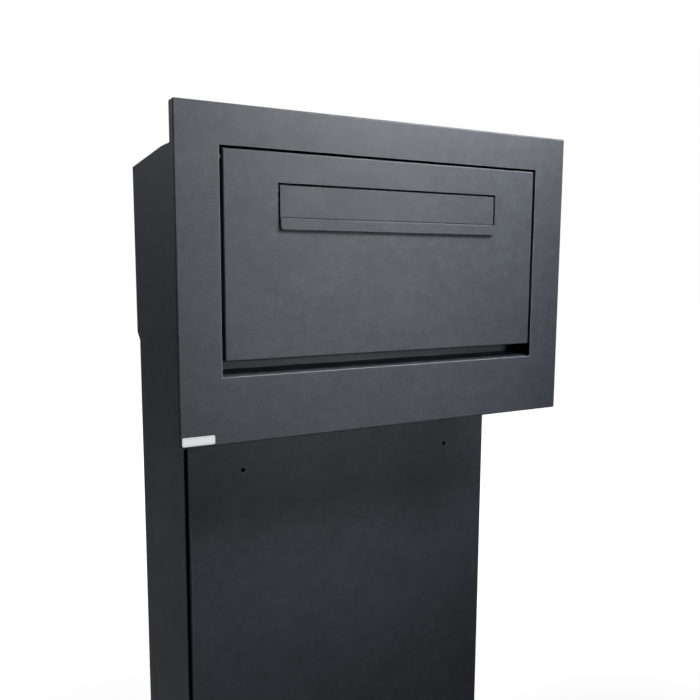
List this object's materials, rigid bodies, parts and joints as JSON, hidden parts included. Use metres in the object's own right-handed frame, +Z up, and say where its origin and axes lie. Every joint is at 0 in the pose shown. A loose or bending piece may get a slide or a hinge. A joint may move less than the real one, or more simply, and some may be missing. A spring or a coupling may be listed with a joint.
{
  "type": "parcel drop box",
  "caption": "Through-wall parcel drop box with a wide front plate, parcel flap, letter slot, inner retention flap and lockable rear door.",
  "frame": {"origin": "centre of the body's underside, at floor height", "axes": "+X right seen from the street, +Y towards the rear door, +Z up"},
  "size_m": [0.6, 0.393, 1.1],
  "materials": {
    "anthracite_powder": "fine textured powder coat",
    "zinc_plated": "satin zinc",
    "rod_steel": "drawn",
    "lock_nickel": "polished nickel",
    "black_rubber": "matte",
    "black_nylon": "matte",
    "label_white": "satin film"
  },
  "bodies": {
    "housing": {"front_plate": "anthracite_powder", "frame_studs": "zinc_plated", "frame_nuts": "zinc_plated", "blank_label": "label_white", "side_panel_left": "anthracite_powder", "side_panel_right": "anthracite_powder", "roof_panel": "anthracite_powder", "head_back_panel": "anthracite_powder", "finger_sill": "anthracite_powder", "chute_plate": "anthracite_powder", "body_front_panel": "anthracite_powder", "base_tray": "anthracite_powder", "rear_frame": "anthracite_powder", "stop_rail_left": "anthracite_powder", "stop_rail_right": "anthracite_powder", "flap_buffers": "black_rubber", "pivot_bracket_left": "anthracite_powder", "pivot_bracket_right": "anthracite_powder", "flap_bushes": "black_nylon", "retention_bracket_left": "zinc_plated", "retention_bracket_right": "zinc_plated", "retention_rod": "rod_steel", "retention_rod_clips": "rod_steel", "retention_stops": "zinc_plated", "door_seal": "black_rubber", "hinge_leaves_frame": "zinc_plated", "hinge_pins": "rod_steel", "hinge_screws_frame": "zinc_plated"},
    "parcel_flap": {"parcel_flap_skin": "anthracite_powder", "parcel_flap_liner": "zinc_plated", "letter_slot_collar": "zinc_plated", "letter_deflector": "anthracite_powder", "flap_hinge_rod": "rod_steel", "flap_rod_clips": "rod_steel", "liner_rivets": "zinc_plated", "letter_hinge_rod": "rod_steel", "letter_rod_caps": "rod_steel", "letter_springs": "rod_steel"},
    "letter_flap": {"letter_flap_plate": "anthracite_powder", "letter_grip_strip": "anthracite_powder", "grip_buffers": "black_rubber"},
    "retention_flap": {"retention_flap_plate": "anthracite_powder", "retention_edge_trim": "black_rubber"},
    "rear_door": {"rear_door_skin": "anthracite_powder", "door_stiffeners": "zinc_plated", "hinge_leaves_door": "zinc_plated", "hinge_screws_door": "zinc_plated", "lock_barrel": "lock_nickel", "lock_nut": "zinc_plated"},
    "lock": {"lock_plug": "lock_nickel", "lock_cam": "zinc_plated", "cam_screw": "zinc_plated", "door_key": "lock_nickel"}
  },
  "joints": [
    {"name": "parcel_flap_hinge", "type": "hinge", "parent": "housing", "child": "parcel_flap", "pos_m": [0, -0.232, 1.0385], "axis": [-1, 0, 0], "range_deg": [0, 80]},
    {"name": "letter_flap_hinge", "type": "hinge", "parent": "parcel_flap", "child": "letter_flap", "pos_m": [0, -0.2345, 1.0025], "axis": [-1, 0, 0], "range_deg": [0, 75], "stiffness_Nm_per_rad": 0.03, "springref_deg": -22.92},
    {"name": "retention_flap_hinge", "type": "hinge", "parent": "housing", "child": "retention_flap", "pos_m": [0, -0.165, 1.058], "axis": [1, 0, 0], "range_deg": [0, 70]},
    {"name": "rear_door_hinge", "type": "hinge", "parent": "housing", "child": "rear_door", "pos_m": [-0.2365, 0.1264, 0.4], "axis": [0, 0, 1], "range_deg": [0, 110]},
    {"name": "lock_turn", "type": "hinge", "parent": "rear_door", "child": "lock", "pos_m": [0.201, 0.107, 0.4], "axis": [0, -1, 0], "range_deg": [0, 90]}
  ]
}
